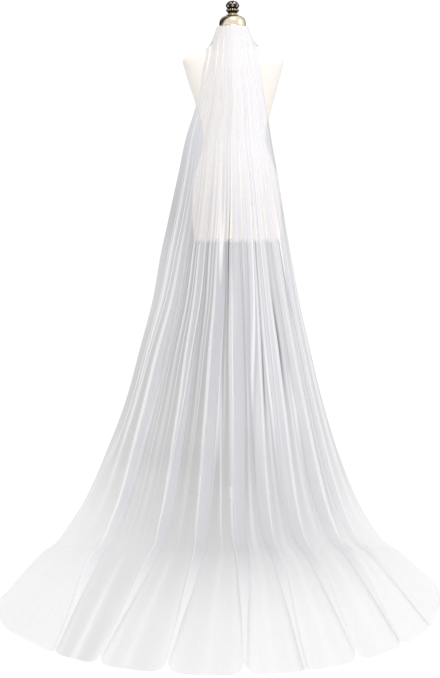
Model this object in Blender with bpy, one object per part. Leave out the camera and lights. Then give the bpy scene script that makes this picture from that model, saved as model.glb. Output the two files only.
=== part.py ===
"""Bridal veil of plain soft net, worn by a limbless dress form that stands on the floor.

Metres, +Z up. The origin is on the floor, in the middle of the form's foot. The form faces +Y, so
the veil hangs down its back and its train lies on the floor towards -Y. "Out" is a distance from the
form's upright axis towards -Y, and "left" is -X, the left-hand side of someone who looks at the train.
"""

import math

import bmesh
import bpy
import numpy as np

# ---- driving sizes ---------------------------------------------------------------------------------
SEAT_GAP = 0.0003  # clearance between a piece and what carries it
NET_WALL = 0.001  # wall of the net's solid
NECK_TOP = 1.680  # height of the padded neck
BODY_BOTTOM = 0.920  # height of the body's lower edge
BOARD_THICK = 0.012
POLE_RADIUS = 0.0125
FOOT_RADIUS = 0.170
FOOT_EDGE = 0.005  # height of the foot's rim
FOOT_BOSS = 0.014  # height of the foot's middle
COMB_WIDTH = 0.074
COMB_THICK = 0.0016
COMB_SPINE = 0.006
COMB_TOOTH = 0.026
COMB_TEETH = 14
COMB_TOP = 1.676
BODY_FACETS = 40
TURNED_FACETS = 28

# Sections of the padded body: height, half width, depth to the front and to the back of the pole's
# axis, and how far the middle lies to the right, because the body sits a little out of plumb.
BODY_SECTIONS = (
    # height, half_width, front, back, lean
    (0.920, 0.158, 0.098, 0.102, 0.011),
    (0.992, 0.162, 0.101, 0.110, 0.009),
    (1.065, 0.161, 0.099, 0.110, 0.008),
    (1.137, 0.155, 0.094, 0.101, 0.007),
    (1.191, 0.137, 0.086, 0.087, 0.005),
    (1.245, 0.119, 0.079, 0.076, 0.002),
    (1.281, 0.113, 0.077, 0.072, 0.000),
    (1.317, 0.115, 0.081, 0.073, 0.000),
    (1.370, 0.130, 0.097, 0.079, 0.000),
    (1.424, 0.144, 0.112, 0.087, 0.000),
    (1.477, 0.160, 0.106, 0.092, -0.002),
    (1.531, 0.175, 0.086, 0.091, -0.003),
    (1.562, 0.181, 0.070, 0.084, -0.004),
    (1.577, 0.168, 0.061, 0.079, -0.004),
    (1.596, 0.120, 0.053, 0.071, -0.003),
    (1.614, 0.079, 0.049, 0.063, -0.004),
    (1.640, 0.065, 0.047, 0.054, -0.005),
    (1.680, 0.049, 0.046, 0.048, -0.006),
)
BODY_SQUARENESS = 2.3  # exponent of each section's oval
SHOULDER_SHELF = 1.590  # height where the neck runs out into the shoulders
SHELF_REACH = 0.035  # how far above and below that the net stands off the body a little more
SHELF_EASE = 0.0095
NET_EASE = 0.0002  # room that the net has over the comb
BODY_BLEND = 0.002  # how softly the net's free hang turns into its lie on the body

# Rows of the hanging net, from the neck to where it meets the floor: height, how far out its middle
# and its two side edges hang, where the side edges are, and the half angle that the row wraps.
NET_ROWS = (
    # height, out_middle, out_side, left, right, wrap
    (1.682, 0.0450, 0.008, -0.049, 0.038, 76.0),
    (1.650, 0.0500, 0.010, -0.060, 0.050, 72.0),
    (1.610, 0.0620, 0.026, -0.076, 0.068, 66.0),
    (1.555, 0.0920, 0.062, -0.098, 0.084, 55.0),
    (1.483, 0.1030, 0.068, -0.116, 0.097, 50.0),
    (1.399, 0.1080, 0.074, -0.136, 0.113, 46.0),
    (1.272, 0.1200, 0.076, -0.175, 0.133, 44.0),
    (1.166, 0.1380, 0.086, -0.197, 0.152, 42.0),
    (1.060, 0.1620, 0.104, -0.220, 0.168, 40.0),
    (0.955, 0.1920, 0.130, -0.242, 0.184, 38.0),
    (0.885, 0.2160, 0.152, -0.257, 0.195, 36.0),
    (0.714, 0.2900, 0.226, -0.285, 0.223, 34.0),
    (0.549, 0.3800, 0.318, -0.325, 0.256, 32.0),
    (0.391, 0.4850, 0.428, -0.364, 0.289, 30.0),
    (0.244, 0.6050, 0.552, -0.416, 0.329, 28.0),
    (0.109, 0.7350, 0.696, -0.474, 0.379, 26.0),
    (0.042, 0.8150, 0.782, -0.518, 0.418, 25.0),
    (0.012, 0.8700, 0.838, -0.541, 0.443, 24.0),
    (NET_WALL / 2, 0.9150, 0.880, -0.559, 0.463, 24.0),
)
# The train's hem on the floor is half of an oval, whose two ends lie at their own distances out.
HEM_MIDDLE = -0.045
HEM_HALF_WIDTH = 0.572
HEM_OUT = 2.038
HEM_LEFT_END = 1.450
HEM_RIGHT_END = 1.290
HEM_SQUARENESS = 2.05
LANDING = 0.35  # how far the net runs on in its own direction once it lands, as a share of the train
TRAIN_ROWS = (0.10, 0.22, 0.35, 0.49, 0.63, 0.77, 0.90, 1.00)  # share of the way from touch-down to hem

# Folds, from left to right: where each lies across a row, as a share of its width, at five stations
# from the neck to the touch-down, and along the hem; which side its top layer laps to; how broad and
# how deep it is against the usual fold; and how far it pulls the hem in.
FOLDS = (
    # neck, back, hip, knee, floor, hem, side, breadth, depth, notch
    (0.085, 0.17, 0.197, 0.140, 0.161, 0.275, 1, 1.20, 1.10, 0.020),
    (0.200, 0.31, 0.329, 0.306, 0.318, 0.345, 1, 0.95, 0.85, 0.060),
    (0.320, 0.43, 0.466, 0.444, 0.440, 0.434, 1, 1.00, 1.00, 0.085),
    (0.440, 0.55, 0.576, 0.575, 0.560, 0.526, 1, 1.15, 1.20, 0.075),
    (0.560, 0.65, 0.685, 0.660, 0.648, 0.597, -1, 0.95, 0.90, 0.012),
    (0.680, 0.75, 0.765, 0.764, 0.743, 0.672, -1, 1.05, 1.00, 0.070),
    (0.800, 0.85, 0.866, 0.872, 0.848, 0.750, -1, 1.10, 1.15, 0.030),
    (0.915, 0.935, 0.941, 0.938, 0.912, 0.830, -1, 0.70, 0.75, 0.012),
)
FOLD_STATIONS = (1.682, 1.399, 0.955, 0.391, NET_WALL / 2)  # heights of the first five columns above

# The usual fold's half breadth and its depth, by height while it hangs, and by its way to the hem.
FOLD_SIZES = (
    # height, half_breadth, depth
    (1.682, 0.0024, 0.0042),
    (1.610, 0.0034, 0.0060),
    (1.483, 0.0052, 0.0090),
    (1.272, 0.0090, 0.0130),
    (1.060, 0.0120, 0.0170),
    (0.885, 0.0150, 0.0200),
    (0.549, 0.0185, 0.0220),
    (0.244, 0.0200, 0.0180),
    (0.042, 0.0195, 0.0110),
    (NET_WALL / 2, 0.0190, 0.0080),
)
TRAIN_SIZES = (
    # way, half_breadth, depth
    (0.00, 0.0190, 0.0080),
    (0.25, 0.0170, 0.0075),
    (0.50, 0.0130, 0.0068),
    (0.75, 0.0095, 0.0062),
    (1.00, 0.0085, 0.0060),
)
NOTCH_GROWTH = 5  # the power of the way to the hem with which a fold is pulled in

# One fold across its breadth: along in half breadths, a share of the rise's run, its level in depths,
# and the share of the fold's notch. The top layer laps over a middle layer and a bottom one.
FOLD_SECTION = (
    # along, run, level, notch
    (-1.00, -1.0, 0.06, 0.15),
    (-1.00, -0.1, 0.86, 0.85),
    (0.00, 0.0, 1.06, 1.00),
    (0.86, 0.0, 0.98, 1.00),
    (1.00, 0.0, 0.76, 1.00),
    (0.86, 0.0, 0.54, 1.00),
    (-0.80, 0.0, 0.46, 1.00),
    (-0.93, 0.0, 0.26, 1.00),
    (-0.78, 0.0, 0.05, 1.00),
    (1.02, 0.0, 0.00, 0.15),
)
RISE_PER_DEPTH = 1.3  # run of the slope up to the top layer
GATHER_LEVEL = 0.25  # how high the soft gather between two folds stands, in depths of the next fold
MOST_OF_GAP = 0.80  # the most of the way between two folds that their layers and slopes take
MARGIN_STEPS = (0.35, 0.68)  # where the flat net between an outer fold and the side edge bends


# ---- shared shapes ---------------------------------------------------------------------------------
def smooth_column(table, column, at, key=0):
    """Reads one column of a table, by its key column, along a smooth curve that never overshoots."""
    rows = sorted(table, key=lambda row: row[key])
    x = np.array([row[key] for row in rows])
    y = np.array([row[column] for row in rows])
    step = np.diff(x)
    slope = np.diff(y) / step
    tangent = np.zeros_like(y)
    tangent[0], tangent[-1] = slope[0], slope[-1]
    for i in range(1, len(x) - 1):
        if slope[i - 1] * slope[i] > 0:
            before, after = 2 * step[i] + step[i - 1], step[i] + 2 * step[i - 1]
            tangent[i] = (before + after) / (before / slope[i - 1] + after / slope[i])
    at = float(np.clip(at, x[0], x[-1]))
    i = min(int(np.searchsorted(x, at, side="right")) - 1, len(step) - 1)
    t = (at - x[i]) / step[i]
    rise = (3 - 2 * t) * t * t
    return (
        y[i] * (1 - rise)
        + y[i + 1] * rise
        + step[i] * t * (1 - t) * (tangent[i] * (1 - t) - tangent[i + 1] * t)
    )


def oval_radius(angle, half_width, half_depth, squareness):
    """Distance from the middle of a squarish oval to its edge."""
    across = abs(math.cos(angle)) / half_width
    along = abs(math.sin(angle)) / half_depth
    return (across**squareness + along**squareness) ** (-1 / squareness)


def body_radius(height, angle):
    """Radius of the padded body's section; an angle of 0 points to +X and 90 degrees to the front."""
    depth = smooth_column(BODY_SECTIONS, 2 if math.sin(angle) > 0 else 3, height)
    half_width = smooth_column(BODY_SECTIONS, 1, height)
    return oval_radius(angle, half_width, depth, BODY_SQUARENESS)


def body_point(height, angle, proud=0.0):
    radius = body_radius(height, angle) + proud
    lean = smooth_column(BODY_SECTIONS, 4, height)
    return (lean + radius * math.cos(angle), radius * math.sin(angle), height)


def material(name, colour, roughness, metallic=0.0):
    made = bpy.data.materials.new(name)
    made.use_nodes = True
    shader = made.node_tree.nodes["Principled BSDF"]
    shader.inputs["Base Color"].default_value = (*colour, 1.0)
    shader.inputs["Roughness"].default_value = roughness
    shader.inputs["Metallic"].default_value = metallic
    made.diffuse_color = (*colour, 1.0)
    return made


def add_object(name, mesh, surface, smooth_below=None):
    """Links a mesh as a named piece; edges sharper than smooth_below degrees stay sharp."""
    mesh.materials.append(surface)
    if smooth_below is not None:
        mesh.shade_smooth()
        mesh.set_sharp_from_angle(angle=math.radians(smooth_below))
    piece = bpy.data.objects.new(name, mesh)
    bpy.context.scene.collection.objects.link(piece)
    return piece


def stacked_rings(name, rings):
    """A closed mesh through rings of equal counts, from the lowest ring to the highest."""
    shape = bmesh.new()
    loops = [[shape.verts.new(point) for point in ring] for ring in rings]
    count = len(loops[0])
    for lower, upper in zip(loops, loops[1:]):
        for i in range(count):
            j = (i + 1) % count
            shape.faces.new((lower[i], lower[j], upper[j], upper[i]))
    shape.faces.new(list(reversed(loops[0])))
    shape.faces.new(loops[-1])
    mesh = bpy.data.meshes.new(name)
    shape.to_mesh(mesh)
    shape.free()
    return mesh


def turned(name, profile, surface, place, smooth_below=50):
    """A turned piece: the profile is (radius, height) from its lower edge to its upper edge."""
    angles = [2 * math.pi * i / TURNED_FACETS for i in range(TURNED_FACETS)]
    rings = [
        [(radius * math.cos(angle), radius * math.sin(angle), height) for angle in angles]
        for radius, height in profile
    ]
    piece = add_object(name, stacked_rings(name, rings), surface, smooth_below)
    piece.location = place
    return piece


# ---- dress form ------------------------------------------------------------------------------------
def make_body(surface):
    heights = [row[0] for row in BODY_SECTIONS]
    between = [(a + b) / 2 for a, b in zip(heights, heights[1:]) if b - a > 0.03]
    angles = [2 * math.pi * i / BODY_FACETS for i in range(BODY_FACETS)]
    rings = [[body_point(height, angle) for angle in angles] for height in sorted(heights + between)]
    add_object("form_torso", stacked_rings("form_torso", rings), surface, 40)


def make_neck_cap(surface):
    """Domed cap that covers the top of the padded neck."""
    profile = (
        (0.0470, 0.0000),
        (0.0480, 0.0030),
        (0.0478, 0.0140),
        (0.0462, 0.0240),
        (0.0420, 0.0320),
        (0.0350, 0.0380),
        (0.0250, 0.0415),
        (0.0160, 0.0425),
    )
    lean = BODY_SECTIONS[-1][4]
    turned("form_neck_cap", profile, surface, (lean, 0, NECK_TOP + SEAT_GAP))
    return lean, NECK_TOP + SEAT_GAP + profile[-1][1]


def make_finial(surface, lean, seat):
    """A flared collar on the cap, and the finial on it: two knops, one above the other."""
    collar = (
        (0.0215, 0.0000),
        (0.0225, 0.0015),
        (0.0215, 0.0035),
        (0.0150, 0.0055),
        (0.0130, 0.0080),
    )
    turned("form_finial_collar", collar, surface, (lean, 0, seat + SEAT_GAP))
    knops = (
        (0.0120, 0.0000),
        (0.0175, 0.0015),
        (0.0190, 0.0045),
        (0.0225, 0.0070),
        (0.0237, 0.0105),
        (0.0222, 0.0140),
        (0.0192, 0.0170),
        (0.0200, 0.0190),
        (0.0228, 0.0215),
        (0.0240, 0.0255),
        (0.0236, 0.0300),
        (0.0210, 0.0355),
        (0.0165, 0.0400),
        (0.0105, 0.0430),
        (0.0060, 0.0442),
    )
    turned("form_finial", knops, surface, (lean, 0, seat + collar[-1][1] + 2 * SEAT_GAP), 60)


def make_bottom_board(surface):
    """Board that closes the body below, a little inside its edge."""
    inset = 0.003
    top = BODY_BOTTOM - SEAT_GAP
    angles = [2 * math.pi * i / BODY_FACETS for i in range(BODY_FACETS)]
    outline = [body_point(BODY_BOTTOM, angle, -inset)[:2] for angle in angles]
    rings = [[(x, y, height) for x, y in outline] for height in (top - BOARD_THICK, top)]
    add_object("form_bottom_board", stacked_rings("form_bottom_board", rings), surface, 40)
    return top - BOARD_THICK


def make_stand(pole_surface, foot_surface, board_underside):
    foot = (
        (FOOT_RADIUS, 0.0),
        (FOOT_RADIUS, FOOT_EDGE),
        (FOOT_RADIUS - 0.006, FOOT_EDGE + 0.002),
        (0.035, FOOT_BOSS - 0.002),
        (0.030, FOOT_BOSS),
    )
    turned("form_foot", foot, foot_surface, (0, 0, 0), 30)
    bottom = FOOT_BOSS + SEAT_GAP
    pole = ((POLE_RADIUS, 0.0), (POLE_RADIUS, board_underside - SEAT_GAP - bottom))
    turned("form_pole", pole, pole_surface, (0, 0, bottom), 40)


# ---- comb ------------------------------------------------------------------------------------------
def make_comb(surface):
    """A comb bent round the back of the neck: a spine along the top, and teeth that point down."""
    rest = SEAT_GAP + COMB_THICK / 2
    half_angle = COMB_WIDTH / 2 / body_radius(COMB_TOP, math.radians(-90))
    strips = 2 * COMB_TEETH - 1
    angles = [math.radians(-90) + half_angle * (2 * i / strips - 1) for i in range(strips + 1)]
    levels = (COMB_TOP, COMB_TOP - COMB_SPINE, COMB_TOP - COMB_SPINE - COMB_TOOTH)
    shape = bmesh.new()
    grid = [[shape.verts.new(body_point(level, angle, rest)) for angle in angles] for level in levels]
    for i in range(strips):
        shape.faces.new((grid[0][i], grid[1][i], grid[1][i + 1], grid[0][i + 1]))
        if i % 2 == 0:
            shape.faces.new((grid[1][i], grid[2][i], grid[2][i + 1], grid[1][i + 1]))
    bmesh.ops.delete(shape, geom=[v for v in grid[2] if not v.link_faces], context="VERTS")
    mesh = bpy.data.meshes.new("veil_comb")
    shape.to_mesh(mesh)
    shape.free()
    comb = add_object("veil_comb", mesh, surface)
    thicken = comb.modifiers.new("Thickness", "SOLIDIFY")
    thicken.thickness = COMB_THICK
    thicken.offset = 0


# ---- net -------------------------------------------------------------------------------------------
def clear_of_body(x, out, height):
    """Moves a point of the net square to the body's section until it lies on it, comb and all."""
    if height < BODY_BOTTOM - 0.05:
        return x, out
    level = max(height, BODY_BOTTOM)
    lean, half_width, depth = (smooth_column(BODY_SECTIONS, column, level) for column in (4, 1, 3))
    shelf = math.exp(-(((height - SHOULDER_SHELF) / SHELF_REACH) ** 2))
    rest = NET_WALL / 2 + 2 * SEAT_GAP + COMB_THICK + NET_EASE + SHELF_EASE * shelf
    side = x - lean
    reach = math.hypot(side, out)
    least = body_radius(level, math.atan2(-out, side)) + rest
    lack = (least - reach + math.hypot(least - reach, BODY_BLEND)) / 2
    steep = BODY_SQUARENESS - 1
    square_x = math.copysign(abs(side) ** steep / half_width**BODY_SQUARENESS, side)
    square_out = out**steep / depth**BODY_SQUARENESS
    size = math.hypot(square_x, square_out)
    facing = (side * square_x + out * square_out) / (reach * size)
    return x + lack * facing * square_x / size, out + lack * facing * square_out / size


def hanging_point(height, share):
    """The net's inner level at a height, at a share of the way from its left edge to its right."""
    middle, side, left, right, wrap = (smooth_column(NET_ROWS, column, height) for column in range(1, 6))
    wrap = math.radians(wrap)
    angle = math.asin(max(-1.0, min(1.0, (2 * share - 1) * math.sin(wrap))))
    bow = (math.cos(angle) - math.cos(wrap)) / (1 - math.cos(wrap))
    x, out = clear_of_body(left + (right - left) * share, side + (middle - side) * bow, height)
    return np.array((x, -out, height))


def hem_point(share):
    """A point of the train's hem, from its left end to its right."""
    angle = math.pi * (1 - share)
    across, along = math.cos(angle), math.sin(angle)
    power = 2 / HEM_SQUARENESS
    end = HEM_LEFT_END + (HEM_RIGHT_END - HEM_LEFT_END) * share
    x = HEM_MIDDLE + HEM_HALF_WIDTH * math.copysign(abs(across) ** power, across)
    out = end + (HEM_OUT - end) * max(along, 0.0) ** power
    return np.array((x, -out, NET_WALL / 2))


def net_point(row, share, hem_share):
    """Inner level of the net: a row up to 1 hangs, and one from 1 to 2 lies on the floor."""
    if row <= 1:
        heights = [line[0] for line in NET_ROWS]
        height = float(np.interp(row * (len(heights) - 1), range(len(heights)), heights))
        return hanging_point(height, share)
    start, end = hanging_point(NET_WALL / 2, share), hem_point(hem_share)
    run = end - start
    landing = start - hanging_point(NET_ROWS[-2][0], share)
    landing[2] = 0.0
    landing *= LANDING * np.linalg.norm(run) / np.linalg.norm(landing)
    t = row - 1
    eased = (3 - 2 * t) * t * t
    return start + run * (eased + t * t * (t - 1)) + landing * t * (1 - t) ** 2


def fold_places(row, height, width):
    """Each fold in a row: share across, share on the hem, lap side, half breadth, rise, depth, notch.

    Where the folds crowd, each is narrowed until it and its neighbours leave some flat net between.
    """
    table, key = (FOLD_SIZES, height) if row <= 1 else (TRAIN_SIZES, row - 1)
    half, depth = (smooth_column(table, column, key) for column in (1, 2))
    shares = [smooth_column(list(zip(FOLD_STATIONS, fold[:5])), 1, height) for fold in FOLDS]
    rises = [RISE_PER_DEPTH * depth * fold[8] for fold in FOLDS]
    halves = [half * fold[7] for fold in FOLDS]
    left = [h + (r if fold[6] > 0 else 0) for h, r, fold in zip(halves, rises, FOLDS)]
    right = [h + (r if fold[6] < 0 else 0) for h, r, fold in zip(halves, rises, FOLDS)]
    needs = [a + b for a, b in zip([0.0] + right, left + [0.0])]
    gaps = [(b - a) * width for a, b in zip([0.0] + shares, shares + [1.0])]
    fits = [min(1.0, MOST_OF_GAP * gap / need) for gap, need in zip(gaps, needs)]
    places = []
    for i, fold in enumerate(FOLDS):
        fit = min(fits[i], fits[i + 1])
        sizes = halves[i] * fit, rises[i] * fit, depth * fold[8], fold[9]
        places.append((shares[i], fold[5], fold[6], *sizes))
    return places


def row_columns(row):
    """One row of the net, left to right: (share, hem share, along, level, notch) for each point.

    The shares place a point on the inner level, "along" moves it on from there and "level" lifts it.
    """
    height = net_point(row, 0.5, 0.5)[2]
    width = float(np.linalg.norm(net_point(row, 1, 1) - net_point(row, 0, 0)))
    columns = [(0.0, 0.0, 0.0, 0.0, 0.0)]
    passed, passed_hem = None, None
    for share, hem, side, half, rise, depth, pull in fold_places(row, height, width):
        left = (half + (rise if side > 0 else 0)) / width
        right = (half + (rise if side < 0 else 0)) / width
        if passed is None:
            columns += [(step * (share - left), step * (hem - left), 0.0, 0.0, 0.0) for step in MARGIN_STEPS]
        else:
            middle = (passed + share - left) / 2, (passed_hem + hem - left) / 2
            columns.append((*middle, 0.0, GATHER_LEVEL * depth, 0.0))
        section = [
            (share, hem, side * (along * half + run * rise), level * depth, notch * pull)
            for along, run, level, notch in FOLD_SECTION
        ]
        columns.extend(section if side > 0 else reversed(section))
        passed, passed_hem = share + right, hem + right
    for step in MARGIN_STEPS[::-1]:
        columns.append((1 - step * (1 - passed), 1 - step * (1 - passed_hem), 0.0, 0.0, 0.0))
    columns.append((1.0, 1.0, 0.0, 0.0, 0.0))
    return columns


def net_surface(rows):
    """Middle surface of the net's wall, and which way the wall thickens, as two grids of vectors."""
    nudge = 1e-3
    points, normals = [], []
    for row in rows:
        line, frames = [], []
        for share, hem, along, level, notch in row_columns(row):
            place = net_point(row, share, hem)
            low, high = max(share - nudge, 0), min(share + nudge, 1)
            hem_low, hem_high = max(hem - nudge, 0), min(hem + nudge, 1)
            across = net_point(row, high, hem_high) - net_point(row, low, hem_low)
            down = net_point(min(row + nudge, 2), share, hem) - net_point(max(row - nudge, 0), share, hem)
            across /= np.linalg.norm(across)
            outward = np.cross(down, across)
            outward /= np.linalg.norm(outward)
            if row > 1 - nudge:
                outward = np.array((0.0, 0.0, 1.0))
            down /= np.linalg.norm(down)
            pulled_in = notch * max(row - 1, 0) ** NOTCH_GROWTH
            line.append(place + across * along + outward * level - down * pulled_in)
            frames.append((across, outward))
        points.append(line)
        normals.append(wall_directions(line, frames))
    return np.array(points), np.array(normals)


def wall_directions(line, frames):
    """Directions square to the row's own path, mitred at its turns."""
    count = len(line)
    square = []
    for i in range(count - 1):
        step = line[i + 1] - line[i]
        across = frames[i][0] + frames[i + 1][0]
        outward = frames[i][1] + frames[i + 1][1]
        across, outward = across / np.linalg.norm(across), outward / np.linalg.norm(outward)
        along, lift = step @ across, step @ outward
        size = math.hypot(along, lift)
        square.append((across * -lift + outward * along) / size)
    directions = []
    for i in range(count):
        before, after = square[max(i - 1, 0)], square[min(i, count - 2)]
        mean = before + after
        mean /= np.linalg.norm(mean)
        directions.append(mean / max(mean @ after, 0.75))
    return directions


def make_net(surface):
    hanging = len(NET_ROWS) - 1
    steps = [i / hanging for i in range(hanging + 1)]
    near_neck = [(i + 0.5) / hanging for i in range(5)]
    rows = sorted(steps + near_neck) + [1 + share for share in TRAIN_ROWS]
    middle, outward = net_surface(rows)
    outer = middle + outward * NET_WALL / 2
    inner = middle - outward * NET_WALL / 2
    for wall in (outer, inner):
        np.maximum(wall[:, :, 2], 0.0, out=wall[:, :, 2])
    shape = bmesh.new()
    sheets = [[[shape.verts.new(point) for point in line] for line in wall] for wall in (outer, inner)]
    last_row, last_column = len(rows) - 1, middle.shape[1] - 1
    for i in range(last_row):
        for j in range(last_column):
            for sheet, turn in zip(sheets, (1, -1)):
                near, far = sheet[i][j], sheet[i + 1][j + 1]
                shape.faces.new((near, sheet[i + 1][j], far)[::turn])
                shape.faces.new((near, far, sheet[i][j + 1])[::turn])
    rim = [(0, j) for j in range(last_column)]
    rim += [(i, last_column) for i in range(last_row)]
    rim += [(last_row, j) for j in range(last_column, 0, -1)]
    rim += [(i, 0) for i in range(last_row, 0, -1)]
    for (i, j), (k, m) in zip(rim, rim[1:] + rim[:1]):
        shape.faces.new((sheets[0][i][j], sheets[0][k][m], sheets[1][k][m], sheets[1][i][j]))
    mesh = bpy.data.meshes.new("veil_net")
    shape.to_mesh(mesh)
    shape.free()
    add_object("veil_net", mesh, surface, 75)


# ---- the whole part --------------------------------------------------------------------------------
def main():
    for old in list(bpy.data.objects):
        bpy.data.objects.remove(old, do_unlink=True)
    jersey = material("Cream jersey", (0.90, 0.83, 0.74), 0.85)
    polished = material("Polished cap metal", (0.78, 0.72, 0.62), 0.20, 1.0)
    bronze = material("Antique bronze", (0.30, 0.22, 0.14), 0.35, 1.0)
    white_board = material("White painted board", (0.75, 0.74, 0.71), 0.60)
    white_tube = material("White enamelled tube", (0.86, 0.86, 0.85), 0.35)
    white_plate = material("White enamelled plate", (0.86, 0.86, 0.85), 0.40)
    clear_comb = material("Clear comb plastic", (0.85, 0.87, 0.88), 0.25)
    net = material("White soft net", (0.88, 0.88, 0.90), 0.80)
    make_body(jersey)
    lean, seat = make_neck_cap(polished)
    make_finial(bronze, lean, seat)
    make_stand(white_tube, white_plate, make_bottom_board(white_board))
    make_comb(clear_comb)
    make_net(net)


main()
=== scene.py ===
"""The finished look of a bridal veil of plain soft white net on a limbless dress form.

Metres, +Z up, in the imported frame: the origin is on the floor in the middle of the form's foot, the
form faces +Y, and the veil hangs down its back with its train towards -Y. "Out" is towards -Y, and
"left" is -X. The sections follow the object as it is put together, from the padded body to the net.
"""

import math
from functools import partial

import bpy
import numpy as np
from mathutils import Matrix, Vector


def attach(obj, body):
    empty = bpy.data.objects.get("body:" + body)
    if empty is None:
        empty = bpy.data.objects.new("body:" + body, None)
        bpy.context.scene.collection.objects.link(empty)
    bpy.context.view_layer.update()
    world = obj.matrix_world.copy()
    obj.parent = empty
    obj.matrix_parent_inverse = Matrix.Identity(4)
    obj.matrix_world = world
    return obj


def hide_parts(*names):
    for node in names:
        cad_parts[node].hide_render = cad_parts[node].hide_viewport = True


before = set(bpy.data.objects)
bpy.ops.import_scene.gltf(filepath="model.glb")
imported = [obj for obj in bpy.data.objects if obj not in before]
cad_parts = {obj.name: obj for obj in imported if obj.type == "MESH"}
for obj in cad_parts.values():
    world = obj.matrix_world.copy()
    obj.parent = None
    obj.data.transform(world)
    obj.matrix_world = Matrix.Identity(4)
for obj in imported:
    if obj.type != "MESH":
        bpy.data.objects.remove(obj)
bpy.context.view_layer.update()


# ---- Padded body -----------------
# A shell padded with wadding, under a cover of cream cotton jersey that is cut in panels, sewn and
# pulled tight. The jersey turns under at the lower edge, and its seams sink a little into the padding,
# with painted shade along them.
BODY_SECTIONS = (
    # height, half_width, front, back, lean
    (0.920, 0.158, 0.098, 0.102, 0.011),
    (0.992, 0.162, 0.101, 0.110, 0.009),
    (1.065, 0.161, 0.099, 0.110, 0.008),
    (1.137, 0.155, 0.094, 0.101, 0.007),
    (1.191, 0.137, 0.086, 0.087, 0.005),
    (1.245, 0.119, 0.079, 0.076, 0.002),
    (1.281, 0.113, 0.077, 0.072, 0.000),
    (1.317, 0.115, 0.081, 0.073, 0.000),
    (1.370, 0.130, 0.097, 0.079, 0.000),
    (1.424, 0.144, 0.112, 0.087, 0.000),
    (1.477, 0.160, 0.106, 0.092, -0.002),
    (1.531, 0.175, 0.086, 0.091, -0.003),
    (1.562, 0.181, 0.070, 0.084, -0.004),
    (1.577, 0.168, 0.061, 0.079, -0.004),
    (1.596, 0.120, 0.053, 0.071, -0.003),
    (1.614, 0.079, 0.049, 0.063, -0.004),
    (1.640, 0.065, 0.047, 0.054, -0.005),
    (1.680, 0.049, 0.046, 0.048, -0.006),
)
BODY_SQUARENESS = 2.3
BODY_BOTTOM = BODY_SECTIONS[0][0]
NECK_TOP = BODY_SECTIONS[-1][0]
SEAM_ANGLES = (-180, -118, -90, -62, 0, 58, 90, 122)  # 90 is the middle of the front
SEAM_HALF_WIDTH = 0.0013
SEAM_DEPTH = 0.0009
SEAM_RADIUS = 0.13  # of the body where its seams run
JERSEY_RADIUS = 0.14  # turns an angle round the body into metres of jersey
TURNED_UNDER = ((0.0, -0.0045), (0.0012, -0.0016), (0.0045, 0.0))  # height above the lower edge, way in
BODY_ROWS = 150
JERSEY_WALE = 0.0022  # a real wale is 1.1 mm, drawn twice as coarse so that it shows
JERSEY_COURSE = 0.0030
JERSEY_SLUBS = 60.0  # in a metre: a thick place in the yarn each 17 mm
JERSEY_PATCHES = 7.0  # in a metre: another tone each 140 mm


def smooth_column(table, column, at, key=0):
    """Reads one column of a table, by its key column, along a smooth curve that never overshoots."""
    table = np.array(sorted(table, key=lambda row: row[key]), float)
    x, y = table[:, key], table[:, column]
    step = np.diff(x)
    slope = np.diff(y) / step
    before, after = 2 * step[1:] + step[:-1], step[1:] + 2 * step[:-1]
    runs_on = slope[:-1] * slope[1:] > 0
    early, late = np.where(runs_on, slope[:-1], 1.0), np.where(runs_on, slope[1:], 1.0)
    tangent = np.empty_like(y)
    tangent[0], tangent[-1] = slope[0], slope[-1]
    tangent[1:-1] = np.where(runs_on, (before + after) / (before / early + after / late), 0.0)
    at = np.clip(at, x[0], x[-1])
    i = np.clip(np.searchsorted(x, at, side="right") - 1, 0, len(step) - 1)
    t = (at - x[i]) / step[i]
    rise = (3 - 2 * t) * t * t
    bend = step[i] * t * (1 - t) * (tangent[i] * (1 - t) - tangent[i + 1] * t)
    return y[i] * (1 - rise) + y[i + 1] * rise + bend


def body_radius(height, angle):
    """Radius of the body's squarish oval; an angle of 0 points to +X and 90 degrees to the front."""
    front, back = (smooth_column(BODY_SECTIONS, column, height) for column in (2, 3))
    depth = np.where(np.sin(angle) > 0, front, back)
    across = np.abs(np.cos(angle)) / smooth_column(BODY_SECTIONS, 1, height)
    along = np.abs(np.sin(angle)) / depth
    return (across**BODY_SQUARENESS + along**BODY_SQUARENESS) ** (-1 / BODY_SQUARENESS)


def body_points(height, angle, proud=0.0):
    radius = body_radius(height, angle) + proud
    lean = smooth_column(BODY_SECTIONS, 4, height)
    flat = np.zeros_like(radius)
    return np.stack([lean + radius * np.cos(angle), radius * np.sin(angle), height + flat], -1)


def linear(colour):
    """An sRGB hex colour as the linear red, green, blue and full cover that shaders take."""
    parts = [int(colour[i : i + 2], 16) / 255 for i in (0, 2, 4)]
    return (*(c / 12.92 if c <= 0.04045 else ((c + 0.055) / 1.055) ** 2.4 for c in parts), 1.0)


def set_inputs(node, inputs):
    """Sets inputs of a node. Each is a value, a colour in hex, or another node's output to link."""
    for socket, value in inputs.items():
        if isinstance(value, bpy.types.NodeSocket):
            node.id_data.links.new(value, node.inputs[socket])
        else:
            node.inputs[socket].default_value = linear(value) if isinstance(value, str) else value


def add_node(tree, kind, inputs=(), out=0, **settings):
    """Adds a shader node and gives one of its outputs, or the whole node if out is None. The kind can
    end in the node's operation or data type. The inputs go by name or in the order of the sockets: a
    MapRange has its value, the two ends that it comes from and the two that it goes to."""
    kind, _, mode = kind.partition(" ")
    made = tree.nodes.new("ShaderNode" + kind)
    if mode:
        settings["data_type" if kind == "Mix" else "operation"] = mode
    for name, value in settings.items():
        setattr(made, name, value)
    set_inputs(made, inputs if isinstance(inputs, dict) else dict(enumerate(inputs)))
    return made if out is None else made.outputs[out]


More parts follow.
